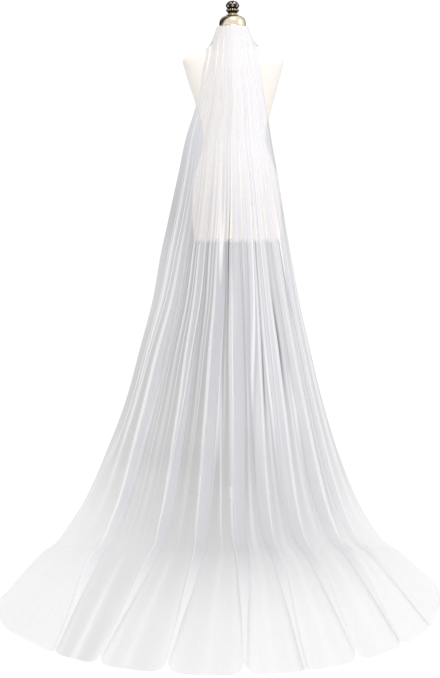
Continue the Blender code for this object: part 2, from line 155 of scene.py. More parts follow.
def new_surface(name, **values):
    """A material, what adds nodes to it, and its shader; the values are the shader's own sockets."""
    made = bpy.data.materials.new(name)
    made.use_nodes = True
    shader = made.node_tree.nodes["Principled BSDF"]
    set_inputs(shader, {socket.replace("_", " "): value for socket, value in values.items()})
    return made, partial(add_node, made.node_tree), shader


def new_piece(name, points, faces, surface, node, corner=60):
    """A smooth mesh in place of a CAD node; edges that turn by more than corner degrees stay sharp."""
    mesh = bpy.data.meshes.new(name)
    mesh.from_pydata(points, [], faces)
    mesh.shade_smooth()
    mesh.set_sharp_from_angle(angle=math.radians(corner))
    mesh.materials.append(surface)
    piece = bpy.data.objects.new(name, mesh)
    bpy.context.scene.collection.objects.link(piece)
    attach(piece, "root")
    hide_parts(node)
    return piece


def grid_piece(name, points, surface, node, slot, closed=False, lids=False, **stored):
    """A piece through rows of points; each stored value is kept as an attribute of the points."""
    rows, columns = points.shape[:2]
    index = np.arange(rows * columns).reshape(rows, columns)
    if closed:
        index = np.concatenate([index, index[:, :1]], axis=1)
    quads = np.stack([index[:-1, :-1], index[:-1, 1:], index[1:, 1:], index[1:, :-1]], -1)
    faces = quads.reshape(-1, 4).tolist()
    if lids:
        faces += [index[0, :columns][::-1].tolist(), index[-1, :columns].tolist()]
    piece = new_piece(name, points.reshape(-1, 3).tolist(), faces, surface, node)
    for label, values in stored.items():
        kind, field = ("FLOAT_VECTOR", "vector") if values.ndim == 3 else ("FLOAT", "value")
        kept = piece.data.attributes.new(label, kind, "POINT")
        kept.data.foreach_set(field, values.astype(np.float32).ravel())
    return piece


def jersey_surface():
    """Cotton jersey: matt and warm, with fine upright wales, a soft nap that catches the light, and
    painted shade along its sunk seams.
    """
    sheen = {"Sheen_Weight": 0.25, "Sheen_Roughness": 0.45, "Specular_IOR_Level": 0.25}
    made, add, shader = new_surface("Cream cotton jersey", Roughness=0.88, **sheen)
    cloth = add("Attribute", out="Vector", attribute_name="cloth")
    knit = (2 * math.pi / JERSEY_WALE, 2 * math.pi / JERSEY_COURSE, 0.0)
    knit = add("VectorMath MULTIPLY", (cloth, knit))
    wales, courses = (add("Math SINE", (add("SeparateXYZ", (knit,), axis),)) for axis in "XY")
    stitches = add("Math MULTIPLY_ADD", (courses, 0.4, wales))
    slub = add("TexNoise", {"Vector": cloth, "Scale": JERSEY_SLUBS, "Detail": 4.0})
    height = add("Math MULTIPLY_ADD", (slub, 2.0, stitches))
    bump = add("Bump", {"Height": height, "Strength": 0.25, "Distance": 0.0003})
    patchy = add("TexNoise", {"Vector": cloth, "Scale": JERSEY_PATCHES, "Detail": 3.0})
    patchy = add("MapRange", (patchy, 0.3, 0.7))
    colour = add("Mix RGBA", {0: patchy, 6: "EAE4DD", 7: "EFE9E3"}, 2)
    # the seams are painted darker: painted shade in their sunk grooves
    seam_shade = add("Attribute", out="Fac", attribute_name="seam_shade")
    seam_shade = add("Math MULTIPLY", (seam_shade, 0.5))
    colour = add("Mix RGBA", {0: seam_shade, 6: colour, 7: "B3A99F"}, 2)
    set_inputs(shader, {"Base Color": colour, "Normal": bump})
    return made


def make_body():
    seam_turn = SEAM_HALF_WIDTH / SEAM_RADIUS
    seams = [math.radians(angle) for angle in SEAM_ANGLES]
    plain = [math.radians(angle) for angle in range(-180, 180, 3)]
    sunk = {angle: 0.0 for angle in plain if min(abs(angle - seam) for seam in seams) > 2 * seam_turn}
    for seam in seams:
        sunk.update({seam - seam_turn: 0.0, seam: -SEAM_DEPTH, seam + seam_turn: 0.0})
    angle, sunk = np.array(sorted(sunk.items())).T[:, None, :]
    edge = [(BODY_BOTTOM + up, way_in) for up, way_in in TURNED_UNDER]
    rows = edge + [(height, 0.0) for height in np.linspace(BODY_BOTTOM + 0.010, NECK_TOP, BODY_ROWS)]
    height, inset = np.array(rows).T[:, :, None]
    around = angle * JERSEY_RADIUS + 0 * height
    cloth = np.stack([around, height + 0 * around, 0 * around], -1)
    surface = jersey_surface()
    points = body_points(height, angle, sunk + inset)
    # marks the seams, where the jersey's colour is painted darker as their shade
    values = {"cloth": cloth, "seam_shade": (sunk < 0) + 0 * around}
    return grid_piece("padded_body", points, surface, "form_torso", "jersey", True, True, **values)


make_body()


# ---- Neck cap --------------------
# A domed cap of spun brass, polished and lacquered, that covers the top of the padded neck. Its rim is
# rolled, and its crown carries the collar of the finial.
SEAT_GAP = 0.0003
CAP_SEAT = NECK_TOP + SEAT_GAP
NECK_LEAN = BODY_SECTIONS[-1][4]
CAP_PROFILE = (
    # radius, height
    (0.0, 0.0010),
    (0.0455, 0.0),
    (0.0470, 0.0),
    (0.0480, 0.0010),
    (0.0483, 0.0024),
    (0.0478, 0.0038),
    (0.0472, 0.0044),
    (0.0476, 0.0060),
    (0.0478, 0.0140),
    (0.0462, 0.0240),
    (0.0420, 0.0320),
    (0.0350, 0.0380),
    (0.0250, 0.0415),
    (0.0160, 0.0425),
    (0.0, 0.0427),
)
TURNED_STEPS = 112
PIN_HOLE = 2e-5  # radius left open at the middle of a turned piece
RELIEF_FROM = 0.008  # radius where relief reaches its full height
SPIN_MARKS = (40.0, 40.0, 2600.0)  # in a metre: each 25 mm round the cap, and each 0.4 mm up it


def smooth_line(points, steps):
    """A line through the points, with the given number of steps between each pair, without corners."""
    points = np.array(points, float)
    padded = np.concatenate([2 * points[:1] - points[1:2], points, 2 * points[-1:] - points[-2:-1]])
    pieces = []
    for i in range(len(points) - 1):
        p0, p1, p2, p3 = padded[i : i + 4]
        t = np.linspace(0, 1, steps, endpoint=False)[:, None]
        pull = (2 * p0 - 5 * p1 + 4 * p2 - p3) * t**2 + (3 * p1 - p0 - 3 * p2 + p3) * t**3
        pieces.append((2 * p1 + (p2 - p0) * t + pull) / 2)
    return np.concatenate([*pieces, points[-1:]])


def turned_piece(name, profile, surface, node, slot, seat, steps=3, lean=NECK_LEAN, relief=None):
    """A turned piece from its underside to its top; the relief lifts a point by its angle and height."""
    line = smooth_line(profile, steps) if steps > 1 else np.array(profile, float)
    radius, height = np.maximum(line[:, :1], PIN_HOLE), line[:, 1:]
    angle = np.linspace(0, 2 * math.pi, TURNED_STEPS, endpoint=False)[None, :]
    lift = relief(angle, height) if relief else 0 * angle * height
    radius = radius + lift * np.minimum(1.0, radius / RELIEF_FROM)
    points = [lean + radius * np.cos(angle), radius * np.sin(angle), seat + height + 0 * angle]
    stored = {"raised": lift / float(lift.max())} if relief else {}
    return grid_piece(name, np.stack(points, -1), surface, node, slot, True, **stored)


def polished_brass_surface():
    """Pale lacquered brass: a bright mirror that turns dark where it is seen edge on."""
    made, add, shader = new_surface(
        "Polished pale brass",
        Metallic=1.0,
        Base_Color="E9DCC6",
        Specular_Tint="6E665C",
        Coat_Weight=0.25,
        Coat_Roughness=0.08,
    )
    place = add("TexCoord", out="Object")
    spun = add("VectorMath MULTIPLY", (place, SPIN_MARKS))
    rings = add("TexNoise", {"Vector": spun, "Scale": 1.0, "Detail": 2.0})
    set_inputs(shader, {"Roughness": add("MapRange", (rings, 0, 1, 0.14, 0.22))})
    return made


brass = polished_brass_surface()
turned_piece("neck_cap", CAP_PROFILE, brass, "form_neck_cap", "cap_metal", CAP_SEAT, 4)


# ---- Collar and finial -----------
# Both are cast in bronze and turned. A threaded rod holds them on the cap. The collar is a plain flared
# ring, and the finial is two knops chased with leaves and beads, dark in the hollows and worn on top.
COLLAR_SEAT = CAP_SEAT + 0.0425 + SEAT_GAP
COLLAR_PROFILE = (
    # radius, height
    (0.0, 0.0),
    (0.0210, 0.0),
    (0.0222, 0.0008),
    (0.0226, 0.0018),
    (0.0215, 0.0034),
    (0.0172, 0.0046),
    (0.0146, 0.0060),
    (0.0134, 0.0080),
    (0.0, 0.0080),
)
FINIAL_SEAT = COLLAR_SEAT + 0.0080 + SEAT_GAP
FINIAL_PROFILE = (
    # radius, height
    (0.0, 0.0),
    (0.0120, 0.0),
    (0.0172, 0.0013),
    (0.0184, 0.0042),
    (0.0214, 0.0066),
    (0.0228, 0.0105),
    (0.0214, 0.0142),
    (0.0184, 0.0170),
    (0.0192, 0.0190),
    (0.0218, 0.0215),
    (0.0231, 0.0255),
    (0.0228, 0.0300),
    (0.0204, 0.0352),
    (0.0162, 0.0396),
    (0.0105, 0.0426),
    (0.0055, 0.0440),
    (0.0, 0.0443),
)
BEADS = 16
LEAVES = 8
WAIST = 0.0178  # height of the narrow place between the two knops
BEAD_ROW = (0.0105, 0.0042)  # height and half depth of the row of beads
LEAF_TOP = 0.0425
RELIEF = 0.0014
PATINA_SPOTS = 260.0  # in a metre: one each 4 mm


def chased_relief(angle, height):
    """Beads round the lower knop, and two rows of leaves, each with a rib, round the upper one."""
    lower = np.exp(-(((height - BEAD_ROW[0]) / BEAD_ROW[1]) ** 2))
    beads = lower * np.abs(np.cos(angle * BEADS / 2)) ** 1.5
    up = np.clip((height - WAIST) / (LEAF_TOP - WAIST), 0, 1)
    row = np.floor(up * 2)
    within = up * 2 - row
    turn = angle * LEAVES / 2 + row * math.pi / 2
    leaf = np.clip(1.35 * np.abs(np.cos(turn)) - within**1.6, 0, 1) ** 0.6
    rib = 0.35 * np.exp(-((np.sin(turn) / 0.16) ** 2))
    leaves = (leaf * (0.65 + rib)) * np.sin(math.pi * np.clip(up * 1.02, 0, 1)) ** 0.35
    return RELIEF * np.where(height < WAIST, beads, leaves)


def antique_bronze_surface(name, worn_colour, dark_colour, chased):
    """Cast bronze, browned with age, that handling has worn bright on everything that stands up."""
    made, add, shader = new_surface(name, Metallic=1.0)
    place = add("TexCoord", out="Object")
    patina = add("TexNoise", {"Vector": place, "Scale": PATINA_SPOTS, "Detail": 4.0})
    if chased:
        height = add("Attribute", out="Fac", attribute_name="raised")
        worn = add("Math MULTIPLY_ADD", (patina, 0.5, height))
    else:
        worn = add("Math ADD", (patina, 0.6))
    worn = add("MapRange", (worn, 0.55, 1.1))
    mixed = add("Mix RGBA", {0: worn, 6: dark_colour, 7: worn_colour}, 2)
    rough = add("MapRange", (worn, 0, 1, 0.55, 0.22))
    pits = add("Bump", {"Height": patina, "Strength": 0.35, "Distance": 0.0004})
    set_inputs(shader, {"Base Color": mixed, "Roughness": rough, "Normal": pits})
    return made


bronze = antique_bronze_surface("Worn collar bronze", "D8C3A0", "8A6C48", chased=False)
turned_piece("finial_collar", COLLAR_PROFILE, bronze, "form_finial_collar", "bronze", COLLAR_SEAT)
bronze = antique_bronze_surface("Antique chased bronze", "CFC2B2", "2B2119", chased=True)
turned_piece(
    "finial", FINIAL_PROFILE, bronze, "form_finial", "bronze", FINIAL_SEAT, 5, relief=chased_relief
)


# ---- Bottom board ----------------
# A board of birch plywood that closes the padded body below. Its edge is rounded over and it is painted
# white, and the flange of the pole is screwed to it.
BOARD_THICK = 0.012
BOARD_INSET = 0.003
BOARD_ROUNDING = ((0.0020, 0.0), (0.0006, 0.0006), (0.0, 0.0020))  # way in from the edge, from a face
BOARD_HUB = 0.02  # radius of the flat lid that closes each face
BOARD_TOP = BODY_BOTTOM - SEAT_GAP
BOARD_GRAIN = (9.0, 160.0, 9.0)  # in a metre: a line each 6 mm, and 110 mm long


def painted_board_surface():
    """Flat white paint on plywood: matt, with a trace of brush marks and of the grain below."""
    made, add, shader = new_surface("White painted plywood", Roughness=0.55)
    place = add("TexCoord", out="Object")
    along = add("VectorMath MULTIPLY", (place, BOARD_GRAIN))
    grain = add("TexNoise", {"Vector": along, "Scale": 1.0, "Detail": 5.0})
    paint = add("Mix RGBA", {0: grain, 6: "DCD9D4", 7: "E6E3DE"}, 2)
    marks = add("Bump", {"Height": grain, "Strength": 0.2, "Distance": 0.0003})
    set_inputs(shader, {"Base Color": paint, "Normal": marks})
    return made


def make_board():
    rows = [(way_in, BOARD_THICK - down) for way_in, down in BOARD_ROUNDING] + [*BOARD_ROUNDING[::-1]]
    angle = np.linspace(0, 2 * math.pi, 144, endpoint=False)[None, :]
    full = body_radius(np.array(BODY_BOTTOM), angle) - BOARD_INSET
    hub = 0 * angle + BOARD_HUB
    radius = np.concatenate([hub, *(full - way_in for way_in, _ in rows), hub])
    down = np.array([BOARD_THICK, *(down for _, down in rows), 0.0])[:, None]
    lean = BODY_SECTIONS[0][4]
    points = [lean + radius * np.cos(angle), radius * np.sin(angle), BOARD_TOP - down + 0 * angle]
    points, surface = np.stack(points, -1), painted_board_surface()
    return grid_piece("bottom_board", points, surface, "form_bottom_board", "board", True, True)


make_board()


# ---- Pole and foot ---------------
# A steel tube and a spun steel plate, both stove enamelled white. The tube stands in the boss of the
# foot and carries the body's whole weight on the board above.
FOOT_TOP = 0.014
POLE_SEAT = FOOT_TOP + SEAT_GAP
ENAMEL_RIPPLES = 420.0  # in a metre: one each 2.4 mm
ENAMEL_PATCHES = 14.0  # in a metre: one each 70 mm
POLE_LENGTH = BOARD_TOP - BOARD_THICK - SEAT_GAP - POLE_SEAT
POLE_PROFILE = (
    # radius, height
    (0.0, 0.0),
    (0.0118, 0.0),
    (0.0125, 0.0008),
    (0.0125, 0.3000),
    (0.0125, 0.6000),
    (0.0125, POLE_LENGTH - 0.0008),
    (0.0118, POLE_LENGTH),
    (0.0, POLE_LENGTH),
)
FOOT_PROFILE = (
    # radius, height
    (0.0, 0.0002),
    (0.1660, 0.0),
    (0.1690, 0.0004),
    (0.1700, 0.0016),
    (0.1700, 0.0040),
    (0.1690, 0.0054),
    (0.1655, 0.0064),
    (0.1500, 0.0075),
    (0.1000, 0.0094),
    (0.0500, 0.0113),
    (0.0360, 0.0122),
    (0.0325, 0.0134),
    (0.0300, 0.0140),
    (0.0, 0.0140),
)


def enamel_surface():
    """Stove enamel on steel: a satin white with a faint orange-peel ripple."""
    made, add, shader = new_surface(
        "White stove enamel", Base_Color="F2F2F0", IOR=1.3, Coat_Weight=0.05, Coat_Roughness=0.30
    )
    place = add("TexCoord", out="Object")
    peel = add("TexNoise", {"Vector": place, "Scale": ENAMEL_RIPPLES, "Detail": 1.0})
    ripple = add("Bump", {"Height": peel, "Strength": 0.08, "Distance": 0.0002})
    dust = add("TexNoise", {"Vector": place, "Scale": ENAMEL_PATCHES, "Detail": 3.0})
    haze = add("MapRange", (dust, 0, 1, 0.40, 0.55))
    set_inputs(shader, {"Normal": ripple, "Roughness": haze})
    return made


enamel = enamel_surface()
turned_piece("pole", POLE_PROFILE, enamel, "form_pole", "enamel", POLE_SEAT, 1, 0.0)
turned_piece("foot", FOOT_PROFILE, enamel, "form_foot", "enamel", 0.0, 1, 0.0)


# ---- Comb ------------------------
# A hair comb moulded in clear acetate, bent round the back of the neck under the gathers. The net is
# sewn to its spine, and its tapered teeth point down.
COMB_WIDTH = 0.074
COMB_THICK = 0.0016
COMB_SPINE = 0.006
COMB_TOOTH = 0.026
COMB_TEETH = 14
COMB_TOP = 1.676
FLOW_MARKS = 180.0  # in a metre: one each 5.6 mm
SPINE_SECTION = ((0.0, 0.35), (0.15, 1.0), (0.85, 1.0), (1.0, 0.8))  # way down the spine, thickness


def clear_acetate_surface():
    """Clear acetate: smooth and glossy, and seen mostly by its edges and glints."""
    made, add, shader = new_surface("Clear moulded acetate", Base_Color="EEF1F3", IOR=1.48, Alpha=0.55)
    place = add("TexCoord", out="Object")
    flow = add("TexNoise", {"Vector": place, "Scale": FLOW_MARKS, "Detail": 2.0})
    set_inputs(shader, {"Roughness": add("MapRange", (flow, 0, 1, 0.08, 0.18))})
    return made


def make_comb():
    rest = SEAT_GAP + COMB_THICK / 2
    back = -math.pi / 2
    half_angle = COMB_WIDTH / 2 / float(body_radius(np.array(COMB_TOP), np.array(back)))
    across = np.linspace(back - half_angle, back + half_angle, 81)[None, :]
    down, thin = (np.array(column)[:, None] for column in zip(*SPINE_SECTION))
    height, thin = COMB_TOP - COMB_SPINE * down + 0 * across, thin * COMB_THICK / 2
    outer, inner = (body_points(height, across, rest + side * thin) for side in (1, -1))
    loops = [np.concatenate([outer, inner[::-1]], axis=0).transpose(1, 0, 2)]
    pitch = 2 * half_angle / (2 * COMB_TEETH - 1)
    down = np.linspace(0, 1, 9)[:, None]
    turn = np.linspace(0, 2 * math.pi, 8, endpoint=False)[None, :]
    height = COMB_TOP - COMB_SPINE - COMB_TOOTH * down + 0 * turn
    half, thick = pitch / 2 * (1 - 0.55 * down**1.6), COMB_THICK / 2 * (0.95 - 0.5 * down)
    for tooth in range(COMB_TEETH):
        middle = back - half_angle + pitch * (2 * tooth + 0.5)
        loops.append(body_points(height, middle + half * np.cos(turn), rest + thick * np.sin(turn)))
    points, faces = [], []
    for loop in loops:
        rows, columns = loop.shape[:2]
        index = len(points) + np.arange(rows * columns).reshape(rows, columns)
        points += loop.reshape(-1, 3).tolist()
        here, beside = index, np.roll(index, -1, axis=1)
        sides = np.stack([here[:-1], beside[:-1], beside[1:], here[1:]], -1)
        faces += sides.reshape(-1, 4).tolist() + [index[0, ::-1].tolist(), index[-1].tolist()]
    return new_piece("comb", points, faces, clear_acetate_surface(), "veil_comb", corner=50)


make_comb()


# ---- Net -------------------------
# One panel of soft bridal net with cut edges, gathered along its top edge and sewn to the comb. It
# hangs from the neck in long laid-over folds, lands on the floor and runs out into a rounded train.
NET_WALL = 0.001
NET_CUT = (1.60, 3.10)  # width and length of the panel before it is gathered
SHOULDER_SHELF = 1.590
SHELF_REACH = 0.035
SHELF_EASE = 0.0095
NET_EASE = 0.0002
BODY_BLEND = 0.002
BELOW_BODY = 0.05  # how far below the body the net stops minding it
NET_ROWS = (
    # height, out_middle, out_side, left, right, wrap
    (1.682, 0.045, 0.008, -0.049, 0.038, 76),
    (1.650, 0.050, 0.010, -0.060, 0.050, 72),
    (1.610, 0.062, 0.026, -0.076, 0.068, 66),
    (1.555, 0.092, 0.062, -0.098, 0.084, 55),
    (1.483, 0.103, 0.068, -0.116, 0.097, 50),
    (1.399, 0.108, 0.074, -0.136, 0.113, 46),
    (1.272, 0.120, 0.076, -0.175, 0.133, 44),
    (1.166, 0.138, 0.086, -0.197, 0.152, 42),
    (1.060, 0.162, 0.104, -0.220, 0.168, 40),
    (0.955, 0.192, 0.130, -0.242, 0.184, 38),
    (0.885, 0.216, 0.152, -0.257, 0.195, 36),
    (0.714, 0.290, 0.226, -0.285, 0.223, 34),
    (0.549, 0.380, 0.318, -0.325, 0.256, 32),
    (0.391, 0.485, 0.428, -0.364, 0.289, 30),
    (0.244, 0.605, 0.552, -0.416, 0.329, 28),
    (0.109, 0.735, 0.696, -0.474, 0.379, 26),
    (0.042, 0.815, 0.782, -0.518, 0.418, 25),
    (0.012, 0.870, 0.838, -0.541, 0.443, 24),
    (NET_WALL / 2, 0.915, 0.880, -0.559, 0.463, 24),
)
HEM_MIDDLE = -0.045
HEM_HALF_WIDTH = 0.572
HEM_OUT = 2.038
HEM_LEFT_END = 1.450
HEM_RIGHT_END = 1.290
HEM_SQUARENESS = 2.05
LANDING = 0.35
FOLDS = (
    # neck, back, hip, knee, floor, hem, side, breadth, depth, notch
    (0.085, 0.17, 0.197, 0.140, 0.161, 0.275, 1, 1.20, 1.10, 0.020),
    (0.200, 0.31, 0.329, 0.306, 0.318, 0.345, 1, 0.95, 0.85, 0.060),
    (0.320, 0.43, 0.466, 0.444, 0.440, 0.434, 1, 1.00, 1.00, 0.085),
    (0.440, 0.55, 0.576, 0.575, 0.560, 0.526, 1, 1.15, 1.20, 0.075),
    (0.560, 0.65, 0.685, 0.660, 0.648, 0.597, -1, 0.95, 0.90, 0.012),
    (0.680, 0.75, 0.765, 0.764, 0.743, 0.672, -1, 1.05, 1.00, 0.070),
    (0.800, 0.85, 0.866, 0.872, 0.848, 0.750, -1, 1.10, 1.15, 0.030),
    (0.915, 0.935, 0.941, 0.938, 0.912, 0.830, -1, 0.70, 0.75, 0.012),
)
FOLD_STATIONS = (1.682, 1.399, 0.955, 0.391, NET_WALL / 2)
FOLD_SIZES = (
    # height, half_breadth, depth
    (1.682, 0.0024, 0.0022),
    (1.610, 0.0034, 0.0028),
    (1.483, 0.0052, 0.0036),
    (1.272, 0.0085, 0.0050),
    (1.060, 0.0105, 0.0090),
    (0.885, 0.0125, 0.0160),
    (0.549, 0.0175, 0.0220),
    (0.244, 0.0190, 0.0180),
    (0.042, 0.0180, 0.0110),
    (NET_WALL / 2, 0.0170, 0.0080),
)
TRAIN_SIZES = (
    # way, half_breadth, depth
    (0.00, 0.0170, 0.0080),
    (0.25, 0.0155, 0.0075),
    (0.50, 0.0115, 0.0065),
    (0.75, 0.0058, 0.0055),
    (1.00, 0.0042, 0.0050),
)
FOLD_SECTION = (
    # along, run, foot, level, notch, in_fold, crease (above 0 a painted highlight, below 0 painted
    # shade), steps
    (-1.00, -1.00, -1, 0.00, 0.0, 0.0, 0.0, 2),
    (-1.00, -1.00, 0, 0.06, 0.5, 0.0, -0.3, 2),
    (-1.00, -0.30, 0, 0.84, 0.8, 1.0, 0.2, 2),
    (-1.00, 0.00, 0, 0.98, 0.9, 1.0, 1.0, 2),
    (-0.88, 0.00, 0, 1.04, 1.0, 1.0, 0.0, 3),
    (0.00, 0.00, 0, 1.06, 1.0, 1.0, 0.0, 3),
    (0.88, 0.00, 0, 0.98, 1.0, 1.0, 0.0, 2),
    (1.00, 0.00, 0, 0.76, 1.0, 1.0, 1.0, 2),
    (0.88, 0.00, 0, 0.54, 1.0, 1.0, 0.0, 3),
    (-0.80, 0.00, 0, 0.46, 1.0, 1.0, 0.0, 2),
    (-0.93, 0.00, 0, 0.26, 1.0, 1.0, 0.0, 2),
    (-0.78, 0.00, 0, 0.05, 1.0, 1.0, 0.0, 3),
    (1.02, 0.00, 0, 0.00, 0.5, 0.0, -0.6, 2),
    (1.02, 0.00, 1, 0.00, 0.0, 0.0, 0.0, 4),
)
RISE_PER_DEPTH = 0.45
FOOT_REACH = (0.003, 0.014)  # how far a fold's foot runs out beside it, above the floor and at the hem
FOOT_SHARE = 4  # the most that is, in half breadths
GATHER_LEVEL = 0.25
MOST_OF_GAP = 0.80
GAPS = (
    # small pleat's place, its lift, ends_at, fades_over, and the height where the gap has opened
    (0.62, 0.0050, 0.30, 0.50, 1.25),
    (0.45, 0.0055, 0.42, 0.40, 1.30),
    (0.38, 0.0060, 0.55, 0.30, 1.10),
    (0.55, 0.0045, 0.62, 0.25, 1.05),
    (0.42, 0.0060, 0.36, 0.50, 0.24),
    (0.50, 0.0045, 0.58, 0.30, 0.52),
    (0.60, 0.0055, 0.28, 0.45, 0.62),
    (0.40, 0.0040, 0.45, 0.40, 0.40),
    (0.50, 0.0040, 0.70, 0.30, 0.80),
)
GAP_OPENING = 0.12  # over how much height a gap closes up above that
SLIT_SHADES = {
    # fold: height and reach of the dark slit of painted shade in the laps at its foot, and its strength
    3: (0.90, 0.16, 2.2),
    4: (0.48, 0.13, 1.3),
    5: (0.58, 0.15, 1.6),
}
SMALL_PLEAT_SECTION = ((-2.2, 0.0, 2), (-0.5, 1.0, 2), (0.5, 1.0, 2), (2.2, 0.0, 4))  # across, up, steps
SMALL_PLEAT_HALF = 0.0028
SMALL_PLEAT_SHARE = 0.12  # the most of its gap that it takes
SMALL_PLEAT_SPREAD = 1.4  # how much wider it is at the hem, as a share
SMALL_PLEAT_LAYERS = 0.7  # how much it looks like layered net
# strength of the painted highlight along a small pleat's edges
SMALL_PLEAT_HIGHLIGHT = 0.8
MARGIN_PARTS = (0.25, 0.50, 0.75)  # ways into each side margin that keep the train's round corners round
NET_LENGTH_STEPS = 236
NOTCH_GROWTH = 5  # the power of the way to the hem with which a fold is pulled in
EVEN_ROWS = 9  # over how many rows the net's lie is evened out
LEAST_PACKED = 0.42  # metres of net in each metre, where the train is spread out most
EDGE_PACKED = 0.29  # how closely the gathers at a side edge are packed, against those in the middle
EDGE_POWER = 1.5  # with which the gathers get looser towards a side edge
EDGE_LOOSER = ((0.40, 0.4), (0.62, 1.0), (1.10, 0.9), (2.00, 0.5))  # row, and how far that holds there
BODY_SEEN = 0.965  # share of the body's half width that backs the net before the body turns away


def clear_of_body(x, out, height):
    """Moves points of the net square to the body's section until they lie on it, comb and all."""
    level = np.maximum(height, BODY_BOTTOM)
    lean, half_width, depth = (smooth_column(BODY_SECTIONS, column, level) for column in (4, 1, 3))
    shelf = np.exp(-(((height - SHOULDER_SHELF) / SHELF_REACH) ** 2))
    rest = NET_WALL / 2 + 2 * SEAT_GAP + COMB_THICK + NET_EASE + SHELF_EASE * shelf
    side = x - lean
    reach = np.hypot(side, out)
    least = body_radius(level, np.arctan2(-out, side)) + rest
    lack = (least - reach + np.hypot(least - reach, BODY_BLEND)) / 2
    lack = np.where(height < BODY_BOTTOM - BELOW_BODY, 0.0, lack)
    steep = BODY_SQUARENESS - 1
    square_x = np.copysign(np.abs(side) ** steep / half_width**BODY_SQUARENESS, side)
    square_out = np.abs(out) ** steep / depth**BODY_SQUARENESS
    size = np.hypot(square_x, square_out)
    facing = (side * square_x + out * square_out) / (reach * size)
    return x + lack * facing * square_x / size, out + lack * facing * square_out / size


def hanging_points(height, share):
    """The net's inner level at a height, at a share of the way from its left edge to its right."""
    middle, side, left, right, wrap = (smooth_column(NET_ROWS, column, height) for column in range(1, 6))
    wrap = np.radians(wrap)
    angle = np.arcsin(np.clip((2 * share - 1) * np.sin(wrap), -1, 1))
    bow = (np.cos(angle) - np.cos(wrap)) / (1 - np.cos(wrap))
    x, out = clear_of_body(left + (right - left) * share, side + (middle - side) * bow, height)
    return np.stack([x, -out, height + 0 * x], -1)


def hem_points(share):
    """Points of the train's hem, from its left end to its right."""
    angle = math.pi * (1 - share)
    across, along = np.cos(angle), np.maximum(np.sin(angle), 0.0)
    power = 2 / HEM_SQUARENESS
    end = HEM_LEFT_END + (HEM_RIGHT_END - HEM_LEFT_END) * share
    x = HEM_MIDDLE + HEM_HALF_WIDTH * np.copysign(np.abs(across) ** power, across)
    out = end + (HEM_OUT - end) * along**power
    return np.stack([x, -out, NET_WALL / 2 + 0 * x], -1)


def row_height(row):
    heights = [line[0] for line in NET_ROWS]
    return np.interp(np.minimum(row, 1) * (len(heights) - 1), range(len(heights)), heights)


def net_points(row, share, hem_share):
    """Inner level of the net: a row up to 1 hangs, and one from 1 to 2 lies on the floor."""
    start, end = hanging_points(NET_WALL / 2 + 0 * share, share), hem_points(hem_share)
    run = end - start
    landing = start - hanging_points(NET_ROWS[-2][0] + 0 * share, share)
    landing[..., 2] = 0.0
    sizes = [np.linalg.norm(way, axis=-1, keepdims=True) for way in (run, landing)]
    landing = landing * LANDING * sizes[0] / sizes[1]
    t = np.clip(row - 1, 0, 1)[..., None]
    lying = start + run * ((3 - 2 * t) * t * t + t * t * (t - 1)) + landing * t * (1 - t) ** 2
    return np.where(row[..., None] <= 1, hanging_points(row_height(row), share), lying)


def fold_places(row, height, width):
    """Each fold: share across, share along the hem, lap side, half breadth, rise, depth and notch."""
    train = np.maximum(row - 1, 0)
    half, depth = (
        np.where(row <= 1, smooth_column(FOLD_SIZES, i, height), smooth_column(TRAIN_SIZES, i, train))
        for i in (1, 2)
    )
    shares = [smooth_column(list(zip(FOLD_STATIONS, fold[:5])), 1, height) for fold in FOLDS]
    rises = [RISE_PER_DEPTH * depth * fold[8] for fold in FOLDS]
    halves = [half * fold[7] for fold in FOLDS]
    left, right = (
        [h + (rise if fold[6] == side else 0) for h, rise, fold in zip(halves, rises, FOLDS)]
        for side in (1, -1)
    )
    needs = [a + b for a, b in zip([0.0, *right], [*left, 0.0])]
    gaps = [(b - a) * width for a, b in zip([0.0, *shares], [*shares, 1.0])]
    fits = [np.minimum(1.0, MOST_OF_GAP * gap / need) for gap, need in zip(gaps, needs)]
    places = []
    for i, fold in enumerate(FOLDS):
        fit = np.minimum(fits[i], fits[i + 1])
        sizes = halves[i] * fit, rises[i] * fit, depth * fold[8], fold[9]
        places.append((shares[i], fold[5], fold[6], *sizes))
    return places


def gap_columns(gap, starts, ends, swell, height, width, flat):
    """Guide columns of the gap between two folds, with a narrow pleat that dies out on its way down."""
    place, lift, ends_at, fades_over, opened = gap
    fade = np.clip((height - ends_at) / fades_over, 0, 1)
    closed = np.clip((height - opened) / GAP_OPENING, 0, 1)
    share, hem = (start + (end - start) * place for start, end in zip(starts, ends))
    most = SMALL_PLEAT_SHARE * (ends[0] - starts[0]) * width
    half = np.minimum(SMALL_PLEAT_HALF * (1 + SMALL_PLEAT_SPREAD * flat), most)
    columns = []
    for across, up, steps in SMALL_PLEAT_SECTION:
        stands = up * fade
        layered = np.maximum(closed, SMALL_PLEAT_LAYERS * stands)
        # painted highlight along the small pleat
        crease_shading = SMALL_PLEAT_HIGHLIGHT * stands
        columns.append((share, hem, across * half, swell + lift * stands, 0, layered, crease_shading, steps))
    return columns


def margin_columns(side, nearest):
    """Plain guide columns from the nearest pleat out to a side edge of the net."""
    edge = (side, side, 0, 0, 0, 0, 0)
    return [
        (*(inner * (1 - part) + outer * part for inner, outer in zip(nearest, edge)), 2)
        for part in (*MARGIN_PARTS, 1.0)
    ]


